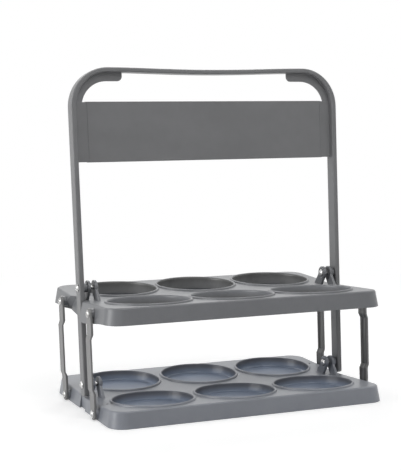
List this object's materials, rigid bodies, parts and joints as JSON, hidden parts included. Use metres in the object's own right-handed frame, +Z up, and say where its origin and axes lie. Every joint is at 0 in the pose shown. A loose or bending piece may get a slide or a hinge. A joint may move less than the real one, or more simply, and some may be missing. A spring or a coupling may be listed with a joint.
{
  "type": "bottle rack",
  "caption": "Folding bottle carrier: two moulded plastic trays, one dished and one with open guide holes, on parallel links under a tall handle frame with a wide panel.",
  "frame": {"origin": "centre of the whole rack's box, at the surface that it stands on", "axes": "+X along the trays' long side, +Y to the back, where the handle leans at rest, +Z up"},
  "size_m": [0.3438, 0.2278, 0.3817],
  "materials": {
    "tray_plastic": "satin moulded grey",
    "handle_plastic": "satin moulded grey",
    "link_plastic": "satin moulded grey",
    "pin_steel": "bright plated",
    "rivet_steel": "bright plated"
  },
  "bodies": {
    "base": {"lower_tray": "tray_plastic", "leg_pin_lower_left": "pin_steel", "leg_pin_lower_right": "pin_steel", "rivet_lower_front_left": "rivet_steel", "rivet_lower_front_right": "rivet_steel", "rivet_lower_back_left": "rivet_steel", "rivet_lower_back_right": "rivet_steel"},
    "handle": {"handle_frame": "handle_plastic"},
    "guide": {"upper_tray": "tray_plastic", "leg_pin_upper_left": "pin_steel", "leg_pin_upper_right": "pin_steel", "rivet_upper_front_left": "rivet_steel", "rivet_upper_front_right": "rivet_steel", "rivet_upper_back_left": "rivet_steel", "rivet_upper_back_right": "rivet_steel"},
    "front_left_link": {"link_front_left": "link_plastic"},
    "front_right_link": {"link_front_right": "link_plastic"},
    "back_left_link": {"link_back_left": "link_plastic"},
    "back_right_link": {"link_back_right": "link_plastic"}
  },
  "joints": [
    {"name": "handle_fold", "type": "hinge", "parent": "base", "child": "handle", "pos_m": [0, -0.00345, 0.0284], "axis": [1, 0, 0], "range_deg": [0, 55]},
    {"name": "guide_swing", "type": "hinge", "parent": "handle", "child": "guide", "pos_m": [0, 0.00345, 0.13808], "axis": [1, 0, 0], "range_deg": [-55, 0]},
    {"name": "front_left_link_swing", "type": "hinge", "parent": "base", "child": "front_left_link", "pos_m": [-0.1685, -0.05795, 0.0068], "axis": [1, 0, 0], "range_deg": [0, 55]},
    {"name": "front_right_link_swing", "type": "hinge", "parent": "base", "child": "front_right_link", "pos_m": [0.1685, -0.05795, 0.0068], "axis": [1, 0, 0], "range_deg": [0, 55]},
    {"name": "back_left_link_swing", "type": "hinge", "parent": "base", "child": "back_left_link", "pos_m": [-0.1685, 0.05105, 0.0068], "axis": [1, 0, 0], "range_deg": [0, 55]},
    {"name": "back_right_link_swing", "type": "hinge", "parent": "base", "child": "back_right_link", "pos_m": [0.1685, 0.05105, 0.0068], "axis": [1, 0, 0], "range_deg": [0, 55]}
  ],
  "couplings": [
    {"joint": "guide_swing", "follows": "handle_fold", "ratio": -1},
    {"joint": "front_left_link_swing", "follows": "handle_fold", "ratio": 1},
    {"joint": "front_right_link_swing", "follows": "handle_fold", "ratio": 1},
    {"joint": "back_left_link_swing", "follows": "handle_fold", "ratio": 1},
    {"joint": "back_right_link_swing", "follows": "handle_fold", "ratio": 1}
  ]
}
